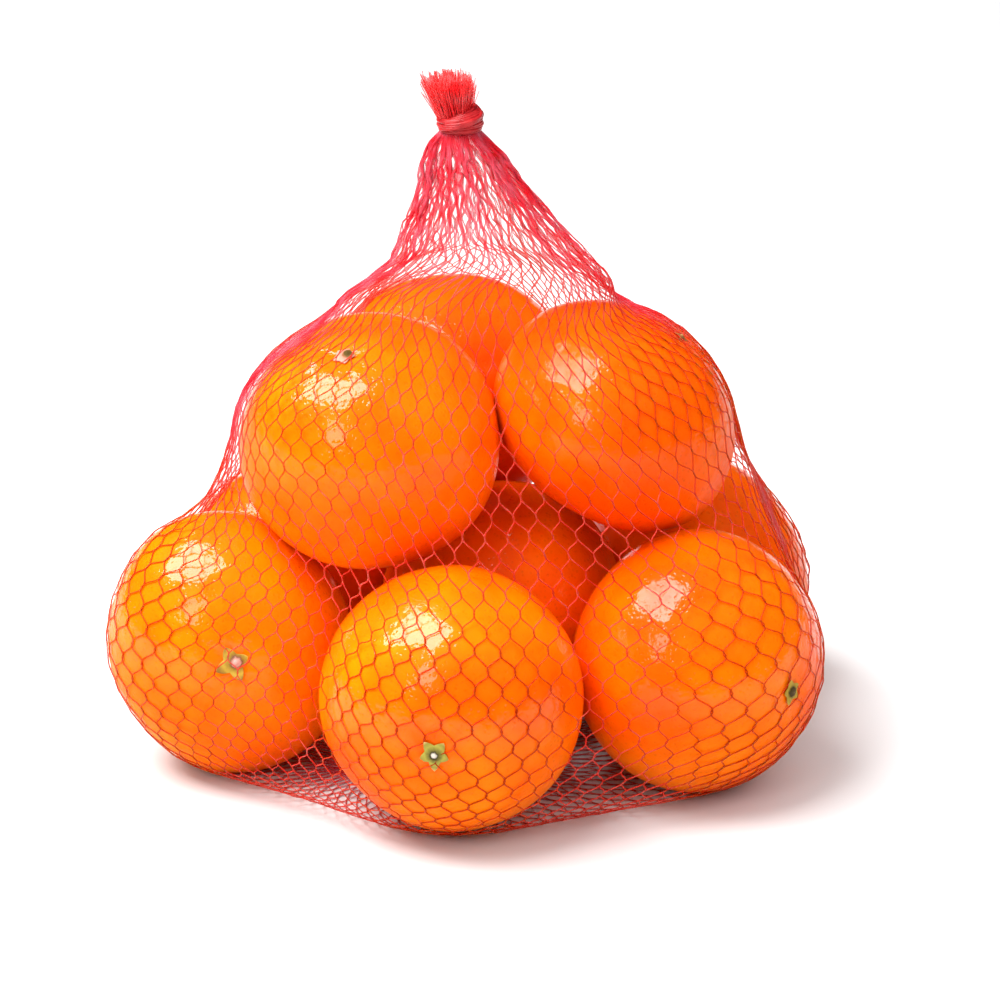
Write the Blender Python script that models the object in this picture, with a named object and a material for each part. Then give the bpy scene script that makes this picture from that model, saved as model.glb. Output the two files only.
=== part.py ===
"""A knotted net of nine mandarins: the drawn-up net bag with its fruit inside, the knot and the tuft above it.

Metres, +Z up. The bag stands on its flat underside, with the origin at the middle of its box on the floor.
"""

import math

import bmesh
import bpy
import numpy as np
from mathutils import Matrix, Vector

MM = 0.001

# The fruit that the net is drawn over, in millimetres: centre, half sizes (across, along, stem to blossom end),
# the way the stem end faces, and the roll about it in degrees.
MANDARINS = {
    "top_left": ((-23.0, -9.0, 81.5), (31.5, 31.5, 30.0), (-0.2, -0.4, 0.9), 5),
    "top_right": ((36.5, 1.5, 84.5), (33.5, 31.5, 25.5), (0.6, 0.0, 0.8), -5),
    "top_back": ((-5.0, 49.0, 77.5), (29.5, 29.0, 29.5), (-0.1, 0.5, 0.9), 5),
    "low_left": ((-58.0, -14.0, 31.5), (32.5, 29.5, 25.5), (0.1, -1.0, 0.3), 25),
    "low_front": ((-3.5, -48.0, 31.5), (31.5, 31.5, 30.5), (-0.1, -1.0, 0.0), 0),
    "low_right": ((55.5, -25.5, 31.5), (32.0, 31.5, 28.5), (0.8, -0.7, 0.0), -25),
    "low_middle": ((9.0, 9.0, 31.5), (31.5, 30.0, 25.5), (-0.1, -1.0, 0.1), 0),
    "low_right_back": ((58.0, 35.5, 31.5), (32.5, 32.0, 26.0), (0.8, 0.5, 0.4), 0),
    "low_left_back": ((-42.0, 38.5, 31.0), (32.5, 31.0, 25.0), (-0.2, 0.8, 0.5), 5),
}

NET_GAP = 0.6  # the net's middle lies this far off the peel, in millimetres
NET_SEGMENTS = 64
NET_RINGS = 48
RELAX_ROUNDS = 420
RELAX_STEP = 0.8
# In a round the net sinks by a step and, where it hangs slack near the floor, it also spreads and sinks more.
TAUT_SINK = 0.02
SLACK_SINK = 0.12
SLACK_SPREAD = 0.14
SLACK_FULL_BELOW = 18.0
SLACK_ENDS_AT = 60.0
NECK_SWAY = 0.03  # the right side of the neck hangs looser, so the neck moves that way in a round
SWAY_FROM = 95.0
SWAY_FULL_AT = 120.0

NECK = Vector((-1.6, -4.0, 154.5))  # middle of the neck's top, under the knot, in millimetres
NECK_RADIUS = 5.4
PLEATS = 11
PLEAT_DEPTH = 0.9
PLEAT_START = 104.0  # height at which the net begins to gather

KNOT_RADIUS = 6.2
KNOT_HEIGHT = 6.8
KNOT_TURNS = 5
KNOT_TILT = 12.0  # degrees that the wound band climbs towards +X
TUFT_RADIUS = 3.4
TUFT_FLARE = 6.3
TUFT_HEIGHT = 10.5
TUFT_LEAN = -2.2  # how far the tuft's end leans towards -X
TUFT_LOCKS = 9
GAP = 0.35  # room left between neighbouring pieces, in millimetres


def clear_scene():
    for thing in list(bpy.data.objects):
        bpy.data.objects.remove(thing, do_unlink=True)


def collection(name):
    made = bpy.data.collections.new(name)
    bpy.context.scene.collection.children.link(made)
    return made


def material(name, colour, roughness):
    made = bpy.data.materials.new(name)
    made.use_nodes = True
    shader = made.node_tree.nodes["Principled BSDF"]
    shader.inputs["Base Color"].default_value = (*colour, 1.0)
    shader.inputs["Roughness"].default_value = roughness
    shader.inputs["Metallic"].default_value = 0.0
    made.diffuse_color = (*colour, 1.0)
    return made


def add_piece(name, mesh_data, group, finish):
    """An object of the bmesh, in millimetres, scaled to metres."""
    bmesh.ops.scale(mesh_data, vec=(MM, MM, MM), verts=mesh_data.verts)
    bmesh.ops.recalc_face_normals(mesh_data, faces=mesh_data.faces)
    mesh = bpy.data.meshes.new(name)
    mesh_data.to_mesh(mesh)
    mesh_data.free()
    mesh.shade_smooth()
    mesh.materials.append(finish)
    piece = bpy.data.objects.new(name, mesh)
    group.objects.link(piece)
    return piece


def fruit_frame(stem, roll):
    """Columns: across, along and stem directions of a fruit, as a 3 x 3 array."""
    stem = Vector(stem).normalized()
    across = Vector((1.0, 0.0, 0.0)).cross(stem).normalized()
    along = stem.cross(across)
    turn = Matrix.Rotation(math.radians(roll), 3, stem)
    return np.array([turn @ across, turn @ along, stem]).T


def push_out_of_fruit(points):
    """Moves every point that is inside a mandarin onto its skin, with room for the net's thickness."""
    for centre, half_sizes, stem, roll in MANDARINS.values():
        frame = fruit_frame(stem, roll)
        sizes = np.array(half_sizes) + NET_GAP
        inner = ((points - np.array(centre)) @ frame) / sizes
        depth = np.linalg.norm(inner, axis=1, keepdims=True)
        inside = depth[:, 0] < 1.0
        moved = (inner[inside] / np.maximum(depth[inside], 1e-6)) * sizes
        points[inside] = moved @ frame.T + np.array(centre)
    return points


def start_shape(unit):
    """A unit sphere's point moved onto a loose sack that stands round all the fruit."""
    half_width, half_depth, rise = 105.0, 95.0, 0.8
    height = (unit.z + 1.0) / 2.0
    return Vector((unit.x * half_width, unit.y * half_depth, height ** rise * NECK.z))


def weight_of_net(points):
    """How a round's own weight moves each point of the net: down, and outwards or sideways where it is slack."""
    height = points[:, 2]
    away = np.clip((height - SLACK_FULL_BELOW) / (SLACK_ENDS_AT - SLACK_FULL_BELOW), 0.0, 1.0)
    slack = 1.0 - away * away * (3.0 - 2.0 * away)
    neck = np.clip((height - SWAY_FROM) / (SWAY_FULL_AT - SWAY_FROM), 0.0, 1.0)
    neck *= np.clip((NECK.z - height) / (NECK.z - SWAY_FULL_AT), 0.0, 0.35) / 0.35
    flat = points * np.array([1.0, 1.0, 0.0])
    outward = flat / np.maximum(np.linalg.norm(flat, axis=1, keepdims=True), 1e-6)
    move = outward * (SLACK_SPREAD * slack)[:, None]
    move[:, 0] += NECK_SWAY * neck
    move[:, 2] -= TAUT_SINK + (SLACK_SINK - TAUT_SINK) * slack
    return move


def net_bag(group, finish):
    """The drawn-up net as one closed skin: relaxed like a film that is tied at the neck and stopped by the fruit."""
    skin = bmesh.new()
    bmesh.ops.create_uvsphere(skin, u_segments=NET_SEGMENTS, v_segments=NET_RINGS, radius=1.0)
    skin.verts.ensure_lookup_table()
    unit = [vert.co.copy() for vert in skin.verts]
    top_ring = math.cos(math.pi * 1.5 / NET_RINGS)
    tied = np.array([point.z > top_ring for point in unit])
    points = np.array([start_shape(point) for point in unit])
    for index, point in enumerate(unit):
        if tied[index]:
            flat = Vector((point.x, point.y))
            reach = NECK_RADIUS if flat.length > 1e-4 else 0.0
            flat = flat.normalized() * reach if reach else Vector((0.0, 0.0))
            points[index] = NECK + Vector((flat.x, flat.y, 0.0))
    knot_points = points[tied].copy()

    ends = np.array([[vert.index for vert in edge.verts] for edge in skin.edges])
    count = np.bincount(ends.ravel(), minlength=len(points))[:, None]
    for _ in range(RELAX_ROUNDS):
        total = np.zeros_like(points)
        np.add.at(total, ends[:, 0], points[ends[:, 1]])
        np.add.at(total, ends[:, 1], points[ends[:, 0]])
        points += RELAX_STEP * (total / count - points) + weight_of_net(points)
        points = push_out_of_fruit(points)
        points[:, 2] = np.maximum(points[:, 2], 0.0)
        points[tied] = knot_points

    for vert, point in zip(skin.verts, points):
        vert.co = point
    add_pleats(skin, unit, tied)
    return add_piece("net_bag", skin, group, finish)


def add_pleats(skin, unit, tied):
    """Folds that run up the neck and deepen towards the knot."""
    bmesh.ops.recalc_face_normals(skin, faces=skin.faces)
    skin.normal_update()
    for vert, start, fixed in zip(skin.verts, unit, tied):
        rise = (vert.co.z - PLEAT_START) / (NECK.z - PLEAT_START)
        if fixed or rise <= 0.0:
            continue
        angle = math.atan2(start.y, start.x)
        wave = 0.5 + 0.5 * math.sin(PLEATS * angle + 1.5 * math.sin(2.0 * angle))
        vert.co += vert.normal * PLEAT_DEPTH * math.sqrt(rise) * wave


def knot(group, finish):
    """The band wound round the neck, a barrel of strands side by side that climbs to the right."""
    band = bmesh.new()
    steps_per_turn = 6
    steps = KNOT_TURNS * steps_per_turn
    rim = []
    for step in range(steps + 1):
        along = step / steps
        barrel = math.sin(math.pi * (0.12 + 0.76 * along)) ** 0.5
        strand = abs(math.sin(math.pi * KNOT_TURNS * along))
        radius = KNOT_RADIUS * (0.62 + 0.30 * barrel + 0.08 * strand)
        rim.append(band.verts.new((radius, 0.0, along * KNOT_HEIGHT)))
    foot = band.verts.new((0.0, 0.0, 0.0))
    head = band.verts.new((0.0, 0.0, KNOT_HEIGHT))
    outline = [foot, *rim, head]
    edges = [band.edges.new(pair) for pair in zip(outline, outline[1:])]
    bmesh.ops.spin(
        band, geom=outline + edges, cent=(0, 0, 0), axis=(0, 0, 1), angle=math.tau, steps=32, use_merge=True
    )
    bmesh.ops.remove_doubles(band, verts=band.verts, dist=0.001)
    base = NECK.z + GAP
    for vert in band.verts:
        outward = vert.co.x / KNOT_RADIUS
        middle = 1.0 - abs(2.0 * vert.co.z / KNOT_HEIGHT - 1.0)
        vert.co.z += KNOT_RADIUS * math.tan(math.radians(KNOT_TILT)) * outward * middle
    bmesh.ops.translate(band, vec=(NECK.x, NECK.y, base), verts=band.verts)
    return add_piece("knot", band, group, finish)


def tuft(group, finish):
    """The cut ends of the net above the knot, a short brush that flares and leans to the left."""
    brush = bmesh.new()
    levels = 6
    side = []
    for level in range(levels + 1):
        rise = level / levels
        radius = TUFT_RADIUS + (TUFT_FLARE - TUFT_RADIUS) * rise ** 1.3
        side.append(brush.verts.new((radius, 0.0, rise * TUFT_HEIGHT)))
    foot = brush.verts.new((0.0, 0.0, 0.0))
    inner = brush.verts.new((TUFT_FLARE * 0.5, 0.0, TUFT_HEIGHT * 0.94))
    head = brush.verts.new((0.0, 0.0, TUFT_HEIGHT * 0.9))
    outline = [foot, *side, inner, head]
    edges = [brush.edges.new(pair) for pair in zip(outline, outline[1:])]
    bmesh.ops.spin(
        brush, geom=outline + edges, cent=(0, 0, 0), axis=(0, 0, 1), angle=math.tau, steps=36, use_merge=True
    )
    bmesh.ops.remove_doubles(brush, verts=brush.verts, dist=0.001)
    base = NECK.z + GAP + KNOT_HEIGHT + GAP
    for vert in brush.verts:
        rise = vert.co.z / TUFT_HEIGHT
        angle = math.atan2(vert.co.y, vert.co.x)
        lock = math.sin(TUFT_LOCKS * angle + 2.0 * math.sin(angle))
        spread = 1.0 + 0.10 * lock * rise
        vert.co.x = vert.co.x * spread + TUFT_LEAN * rise ** 1.5
        vert.co.y = vert.co.y * spread
        vert.co.z -= max(0.0, -lock) * 1.6 * rise ** 6
    bmesh.ops.translate(brush, vec=(NECK.x, NECK.y, base), verts=brush.verts)
    return add_piece("tuft", brush, group, finish)


def main():
    clear_scene()
    group = collection("net_of_mandarins")
    net_bag(group, material("net_red", (0.83, 0.07, 0.08), 0.4))
    knot(group, material("knot_red", (0.55, 0.03, 0.05), 0.35))
    tuft(group, material("tuft_red", (0.90, 0.06, 0.07), 0.45))


main()
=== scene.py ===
import math

import bmesh
import bpy
import numpy as np
from mathutils import Matrix, Vector


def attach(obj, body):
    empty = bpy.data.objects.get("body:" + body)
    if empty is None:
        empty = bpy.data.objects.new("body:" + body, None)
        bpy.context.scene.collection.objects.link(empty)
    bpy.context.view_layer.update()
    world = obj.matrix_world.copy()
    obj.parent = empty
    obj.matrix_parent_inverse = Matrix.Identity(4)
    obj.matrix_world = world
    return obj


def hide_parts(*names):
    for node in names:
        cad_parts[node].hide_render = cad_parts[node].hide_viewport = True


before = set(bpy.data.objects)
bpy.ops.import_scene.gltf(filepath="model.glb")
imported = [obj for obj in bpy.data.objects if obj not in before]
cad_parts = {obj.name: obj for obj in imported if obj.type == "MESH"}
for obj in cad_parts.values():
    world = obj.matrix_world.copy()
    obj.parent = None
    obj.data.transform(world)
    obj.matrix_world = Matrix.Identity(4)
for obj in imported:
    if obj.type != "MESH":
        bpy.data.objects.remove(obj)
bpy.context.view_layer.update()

mm = 0.001
random = np.random.default_rng(7)


def hexColour(text):
    # sRGB hex to the linear colour that a shader takes
    channels = [int(text[at:at + 2], 16) / 255 for at in (1, 3, 5)]
    linear = [c / 12.92 if c <= 0.04045 else ((c + 0.055) / 1.055) ** 2.4 for c in channels]
    return (*linear, 1.0)


def smoothStep(low, high, value):
    t = np.clip((value - low) / (high - low), 0.0, 1.0)
    return t * t * (3.0 - 2.0 * t)


def between(pair, share):
    return pair[0] + (pair[1] - pair[0]) * share


def unit(vectors):
    return vectors / np.maximum(np.linalg.norm(vectors, axis=-1, keepdims=True), 1e-6)


def plug(tree, node, links):
    # links are input: output socket
    for name, socket in links.items():
        tree.links.new(socket, node.inputs[name])


def addNode(tree, kind, settings=None, links=None):
    # settings go to inputs by name or number, else to the node itself
    node = tree.nodes.new(kind)
    for name, value in (settings or {}).items():
        if name == "stops":
            ramp = node.color_ramp.elements
            ramp[0].position, ramp[1].position = value[0][0], value[-1][0]
            for place, colour in value[1:-1]:
                ramp.new(place)
            for stop, (place, colour) in zip(ramp, value):
                stop.color = hexColour(colour)
        elif isinstance(name, int) or name in node.inputs:
            node.inputs[name].default_value = value
        else:
            setattr(node, name, value)
    plug(tree, node, links or {})
    return node


def newMaterial(name, settings):
    material = bpy.data.materials.new(name)
    material.use_nodes = True
    tree = material.node_tree
    shader = tree.nodes["Principled BSDF"]
    for socket, value in settings.items():
        shader.inputs[socket].default_value = value
    place = addNode(tree, "ShaderNodeTexCoord").outputs["Object"]
    return material, tree, shader, place


def addPiece(name, mesh, material, standsFor=()):
    mesh.name = name
    mesh.materials.clear()
    mesh.materials.append(material)
    mesh.shade_smooth()
    piece = bpy.data.objects.new(name, mesh)
    bpy.context.scene.collection.objects.link(piece)
    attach(piece, "root")
    if standsFor:
        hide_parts(*standsFor)


def bmeshToMesh(bm, name):
    # everything is modelled in millimetres and scaled here
    bmesh.ops.scale(bm, vec=(mm, mm, mm), verts=bm.verts)
    bmesh.ops.recalc_face_normals(bm, faces=bm.faces)
    mesh = bpy.data.meshes.new(name)
    bm.to_mesh(mesh)
    bm.free()
    return mesh


def threadsToMesh(name, threads, width, sides=0):
    # each thread is a run of points in mm; its width may be one number or one a point
    curve = bpy.data.curves.new(name, "CURVE")
    curve.dimensions = "3D"
    curve.bevel_depth = 0.5 * mm
    curve.bevel_resolution = sides
    curve.use_fill_caps = True
    for number, points in enumerate(threads):
        spline = curve.splines.new("POLY")
        spline.points.add(len(points) - 1)
        flat = np.ones((len(points), 4))
        flat[:, :3] = np.asarray(points)[:, :3] * mm
        spline.points.foreach_set("co", flat.ravel())
        thick = width[number] if isinstance(width, list) else width
        spline.points.foreach_set("radius", np.broadcast_to(thick, len(points)).astype(float))
    holder = bpy.data.objects.new(name + "_curve", curve)
    bpy.context.scene.collection.objects.link(holder)
    bpy.context.view_layer.update()
    graph = bpy.context.evaluated_depsgraph_get()
    mesh = bpy.data.meshes.new_from_object(holder.evaluated_get(graph))
    bpy.data.objects.remove(holder)
    bpy.data.curves.remove(curve)
    if threads[0].shape[1] > 3:
        # the fourth number of each point goes to the ring of corners round it; the caps' corners come first
        values = np.concatenate([np.ones(2 * len(threads))] + [points[:, 3] for points in threads])
        around = len(mesh.vertices) // len(values)
        bunched = mesh.attributes.new("bunched", "FLOAT", "POINT")
        bunched.data.foreach_set("value", np.repeat(values, around).astype(np.float32))
    bm = bmesh.new()  # the caps are closed onto the tube
    bm.from_mesh(mesh)
    bmesh.ops.remove_doubles(bm, verts=bm.verts, dist=0.001 * mm)
    bm.to_mesh(mesh)
    bm.free()
    return mesh


def splineThrough(points, perSpan):
    # a smooth run through the points, with perSpan[i] steps on the span after point i
    before = np.vstack([points[:1], points[:-1]])
    after = np.vstack([points[1:], points[-1:]])
    slope = (after - before) / 2.0
    made = []
    for at in range(len(points) - 1):
        t = (np.arange(perSpan[at % len(perSpan)]) / perSpan[at % len(perSpan)])[:, None]
        start, end = points[at], points[at + 1]
        made.append(
            start * (2 * t ** 3 - 3 * t ** 2 + 1) + end * (3 * t ** 2 - 2 * t ** 3)
            + slope[at] * (t ** 3 - 2 * t ** 2 + t) + slope[at + 1] * (t ** 3 - t ** 2)
        )
    return np.vstack(made + [points[-1:]])


# mm: centre, half sizes (across, along, stem end to blossom end), the way the stem end faces, roll in
# degrees, tone from deep orange 0 to yellow orange 1, and what is left of the stem
mandarins = {
    "top_left": dict(centre=(-23.0, -9.0, 81.5), half=(31.5, 31.5, 30.0), stem=(-0.2, -0.4, 0.9),
                     roll=5, tone=0.75, seed=3, calyx="torn"),
    "top_right": dict(centre=(36.5, 1.5, 84.5), half=(33.5, 31.5, 25.5), stem=(0.6, 0.0, 0.8),
                      roll=-5, tone=0.45, seed=4, calyx="dry"),
    "top_back": dict(centre=(-5.0, 48.5, 74.0), half=(30.5, 33.0, 31.0), stem=(-0.1, 0.9, 0.5),
                     roll=5, tone=0.35, seed=5, calyx="dry"),
    "low_left": dict(centre=(-58.0, -14.0, 31.5), half=(32.5, 29.5, 25.5), stem=(0.1, -1.0, 0.19),
                     roll=25, tone=0.7, seed=6, calyx="pale"),
    "low_front": dict(centre=(-3.5, -48.0, 31.5), half=(31.5, 31.5, 30.5), stem=(-0.12, -1.0, -0.04),
                      roll=0, tone=0.6, seed=7, calyx="green"),
    "low_right": dict(centre=(55.5, -25.5, 31.5), half=(32.0, 31.5, 28.5), stem=(0.8, -0.7, 0.0),
                      roll=-25, tone=0.55, seed=8, calyx="olive"),
    "low_middle": dict(centre=(9.0, 9.0, 31.5), half=(31.5, 30.0, 26.4), stem=(-0.1, -1.0, 0.1),
                       roll=0, tone=0.4, seed=9, calyx="green"),
    "low_right_back": dict(centre=(58.0, 35.5, 31.5), half=(32.5, 32.0, 26.0), stem=(0.8, 0.5, 0.4),
                           roll=0, tone=0.5, seed=10, calyx="pale"),
    "low_left_back": dict(centre=(-42.0, 38.5, 31.0), half=(32.5, 31.0, 25.0), stem=(-0.2, 0.8, 0.5),
                          roll=5, tone=0.6, seed=11, calyx="green"),
}

peelShape = {
    "subdivisions": 6,
    "lumps": 9,
    "lumpsAround": (1.5, 6.5),
    "lumpDepth": 0.0055,  # of the fruit's half size
    "stemHollow": 0.035,
    "stemHollowWidth": 0.17,  # radians from the stem
    "blossomHollow": 0.016,
    "blossomHollowWidth": 0.13,
    "creases": 9,
    "creaseDepth": 0.004,
    "creaseReach": 0.42,
    "creaseStart": 0.15,
    "creaseUneven": 1.2,
    "toneDrift": 0.10,
    "floorGap": 0.35,  # mm under the fruit, where the net lies
}


def prepareFruit():
    for fruit in mandarins.values():
        stem = Vector(fruit["stem"]).normalized()
        across = Vector((1.0, 0.0, 0.0)).cross(stem).normalized()
        along = stem.cross(across)
        turn = Matrix.Rotation(math.radians(fruit["roll"]), 3, stem)
        fruit["axes"] = np.array([turn @ across, turn @ along, stem]).T
        fruit["centre"] = np.array(fruit["centre"])
        fruit["half"] = np.array(fruit["half"])
        own = np.random.default_rng(fruit["seed"])
        waves = own.normal(size=(peelShape["lumps"], 3))
        waves /= np.linalg.norm(waves, axis=1, keepdims=True)
        fruit["waves"] = waves * own.uniform(*peelShape["lumpsAround"], (peelShape["lumps"], 1))
        fruit["phases"] = own.uniform(0.0, math.tau, peelShape["lumps"])


def peelSwell(fruit, directions):
    # how far the peel stands out of a plain ellipsoid, as a factor, for directions in the fruit's own axes
    shape = peelShape
    lumps = np.cos(directions @ fruit["waves"].T + fruit["phases"]).sum(axis=1)
    swell = 1.0 + shape["lumpDepth"] * lumps
    fromStem = np.arccos(np.clip(directions[:, 2], -1.0, 1.0))
    spin = np.arctan2(directions[:, 1], directions[:, 0])
    swell -= shape["stemHollow"] * np.exp(-(fromStem / shape["stemHollowWidth"]) ** 2)
    swell -= shape["blossomHollow"] * np.exp(-((math.pi - fromStem) / shape["blossomHollowWidth"]) ** 2)
    uneven = shape["creaseUneven"] * np.sin(2.0 * spin)
    crease = np.cos(shape["creases"] * spin + fruit["phases"][0] + uneven)
    near = np.exp(-(fromStem / shape["creaseReach"]) ** 2)
    near = near * np.clip(fromStem / shape["creaseStart"], 0.0, 1.0)
    return swell + shape["creaseDepth"] * crease * near


def pushOffPeel(points, gap):
    # every point that is inside a fruit, or nearer than the gap, is moved straight out of it
    for fruit in mandarins.values():
        size = fruit["half"] + gap
        inner = ((points - fruit["centre"]) @ fruit["axes"]) / size
        depth = np.linalg.norm(inner, axis=1)
        near = depth < 1.06  # further out than any lump or crease
        outward = inner[near] / np.maximum(depth[near], 1e-6)[:, None]
        skin = peelSwell(fruit, outward)
        inside = depth[near] < skin
        where = np.flatnonzero(near)[inside]
        moved = outward[inside] * skin[inside][:, None] * size
        points[where] = moved @ fruit["axes"].T + fruit["centre"]
    return points


def peelMaterial():
    # waxed mandarin peel: a thin clear wax over oil glands a millimetre across, so the eye sees a bright
    # gloss broken up by fine pits, and a warm glow where light goes into the rind
    material, tree, shader, place = newMaterial("waxedMandarinPeel", {
        "Roughness": 0.3,
        "IOR": 1.44,
        "Specular IOR Level": 0.04,
        "Coat Roughness": 0.07,
        "Coat IOR": 1.45,
        "Subsurface Weight": 0.12,
        "Subsurface Radius": (1.0, 0.32, 0.06),
        "Subsurface Scale": 2.2 * mm,
    })
    tone = addNode(tree, "ShaderNodeAttribute", {"attribute_name": "tone"}).outputs["Fac"]
    blush = addNode(tree, "ShaderNodeTexNoise", {
        "Scale": 1 / (16 * mm), "Detail": 3.0, "Roughness": 0.55,
    }, {"Vector": place}).outputs["Fac"]
    spread = addNode(tree, "ShaderNodeMath", {
        "operation": "MULTIPLY_ADD", 1: 0.75, 2: -0.37,
    }, {0: blush}).outputs[0]
    mixed = addNode(tree, "ShaderNodeMath", {"operation": "ADD"}, {0: tone, 1: spread}).outputs[0]
    base = addNode(tree, "ShaderNodeValToRGB", {"stops": [
        (0.0, "#EA4200"), (0.45, "#F85E00"), (1.0, "#FF8802"),
    ]}, {"Fac": mixed}).outputs["Color"]

    glands = addNode(tree, "ShaderNodeTexVoronoi", {"Scale": 1 / (1.25 * mm), "Randomness": 0.9},
                     {"Vector": place}).outputs["Distance"]
    pit = addNode(tree, "ShaderNodeMapRange", {
        "interpolation_type": "SMOOTHSTEP", "From Min": 0.05, "From Max": 0.42,
        "To Min": 0.0, "To Max": 1.0,
    }, {"Value": glands}).outputs["Result"]
    # the gland pits are darkened in colour: partly the glands' own colour, partly painted shade in the pits
    glandColourAndShade = addNode(tree, "ShaderNodeMapRange", {"To Min": 0.88, "To Max": 1.0}, {"Value": pit}).outputs[0]
    coloured = addNode(tree, "ShaderNodeMix", {"data_type": "RGBA", "blend_type": "MULTIPLY", 0: 1.0},
                       {6: base, 7: glandColourAndShade}).outputs[2]

    wear = addNode(tree, "ShaderNodeTexNoise", {"Scale": 1 / (7 * mm), "Detail": 2.0}, {"Vector": place})
    gloss = addNode(tree, "ShaderNodeMapRange", {
        "From Min": 0.3, "From Max": 0.7, "To Min": 0.26, "To Max": 0.40,
    }, {"Value": wear.outputs["Fac"]}).outputs["Result"]

    # three sizes of unevenness: slow waves, dimples and the pits of the glands
    ripple = addNode(tree, "ShaderNodeTexNoise", {
        "Scale": 1 / (5.5 * mm), "Detail": 2.0, "Roughness": 0.5,
    }, {"Vector": place}).outputs["Fac"]
    low = addNode(tree, "ShaderNodeBump", {"Strength": 0.6, "Distance": 0.5 * mm}, {"Height": ripple})
    dimple = addNode(tree, "ShaderNodeTexNoise", {
        "Scale": 1 / (2.4 * mm), "Detail": 1.0,
    }, {"Vector": place}).outputs["Fac"]
    middle = addNode(tree, "ShaderNodeBump", {
        "Strength": 0.6, "Distance": 0.22 * mm,
    }, {"Height": dimple, "Normal": low.outputs[0]}).outputs[0]
    fine = addNode(tree, "ShaderNodeBump", {
        "Strength": 0.38, "Distance": 0.12 * mm,
    }, {"Height": pit, "Normal": middle}).outputs[0]

    # the coat weight falls on the underside: a painted dimming of the floor's reflection in the gloss there
    facing = addNode(tree, "ShaderNodeNewGeometry").outputs["Normal"]
    upward = addNode(tree, "ShaderNodeSeparateXYZ", links={0: facing}).outputs["Z"]
    waxDimmedBelow = addNode(tree, "ShaderNodeMapRange", {
        "interpolation_type": "SMOOTHSTEP", "From Min": -0.2, "From Max": 0.5,
        "To Min": 0.03, "To Max": 0.85,
    }, {"Value": upward}).outputs["Result"]
    plug(tree, shader, {
        "Base Color": coloured, "Roughness": gloss, "Normal": fine, "Coat Normal": fine, "Coat Weight": waxDimmedBelow,
    })
    return material


def growPeel(name, fruit, material):
    bm = bmesh.new()
    bmesh.ops.create_icosphere(bm, subdivisions=peelShape["subdivisions"], radius=1.0)
    directions = np.array([vert.co for vert in bm.verts])
    directions /= np.linalg.norm(directions, axis=1, keepdims=True)
    skin = directions * peelSwell(fruit, directions)[:, None] * fruit["half"]
    skin = skin @ fruit["axes"].T + fruit["centre"]
    for vert, co in zip(bm.verts, skin):
        vert.co = co
        vert.co.z = max(vert.co.z, peelShape["floorGap"])
    drift = np.cos(directions @ fruit["waves"][1] + fruit["phases"][2])
    tone = fruit["tone"] + peelShape["toneDrift"] * drift
    mesh = bmeshToMesh(bm, name)
    mesh.attributes.new("tone", "FLOAT", "POINT").data.foreach_set("value", tone.astype(np.float32))
    addPiece(name, mesh, material)


def calyxMaterial(name, stops):
    # drying sepals and a cut stem: matt and slightly downy, so the eye sees no gloss, only mottled colour
    material, tree, shader, place = newMaterial(name, {
        "Roughness": 0.68, "IOR": 1.4, "Specular IOR Level": 0.3,
    })
    ring = addNode(tree, "ShaderNodeAttribute", {"attribute_name": "ring"}).outputs["Fac"]
    mottle = addNode(tree, "ShaderNodeTexNoise", {"Scale": 1 / (0.7 * mm), "Detail": 3.0}, {"Vector": place})
    shift = addNode(tree, "ShaderNodeMath", {"operation": "MULTIPLY_ADD", 1: 0.22, 2: -0.11},
                    {0: mottle.outputs["Fac"]}).outputs[0]
    along = addNode(tree, "ShaderNodeMath", {"operation": "ADD"}, {0: ring, 1: shift}).outputs[0]
    colour = addNode(tree, "ShaderNodeValToRGB", {"stops": stops}, {"Fac": along}).outputs["Color"]
    bump = addNode(tree, "ShaderNodeBump", {
        "Strength": 0.5, "Distance": 0.15 * mm,
    }, {"Height": mottle.outputs["Fac"]}).outputs[0]
    plug(tree, shader, {"Base Color": colour, "Normal": bump})
    return material


# what is left of the stem: a flat star of sepals round a pale cut, all in mm
calyxKinds = {
    "green": dict(points=5, reach=3.9, waist=0.60, thick=0.7, curl=0.5, heart=1.1, aside=0.0, seed=1),
    "olive": dict(points=5, reach=3.4, waist=0.60, thick=0.8, curl=0.6, heart=0.85, aside=0.0, seed=7),
    "pale": dict(points=4, reach=4.4, waist=0.55, thick=0.8, curl=0.9, heart=1.25, aside=0.8, seed=2),
    "dry": dict(points=4, reach=2.0, waist=0.35, thick=0.6, curl=0.3, heart=0.7, aside=0.0, seed=3),
    "torn": dict(points=5, reach=2.8, waist=0.70, thick=0.9, curl=0.3, heart=1.05, aside=1.1, seed=4),
}
calyxShape = {
    "segments": (40, 30),
    "open": 1.35,  # over 1 gathers more of the mesh at the heart
    "lobe": 1.25,  # over 1 makes the lobes more pointed
    "lengths": (0.82, 1.08),
    "buttonWidth": 0.62,  # of the heart, where the stem was cut
    "buttonHeight": 0.55,
    "rimWidth": 0.28,
    "rimHeight": 0.32,
    "curlLate": 2.5,
    "peelRadius": 31.0,  # the star lies along the round of the fruit
    "lift": 0.5,
}


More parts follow.
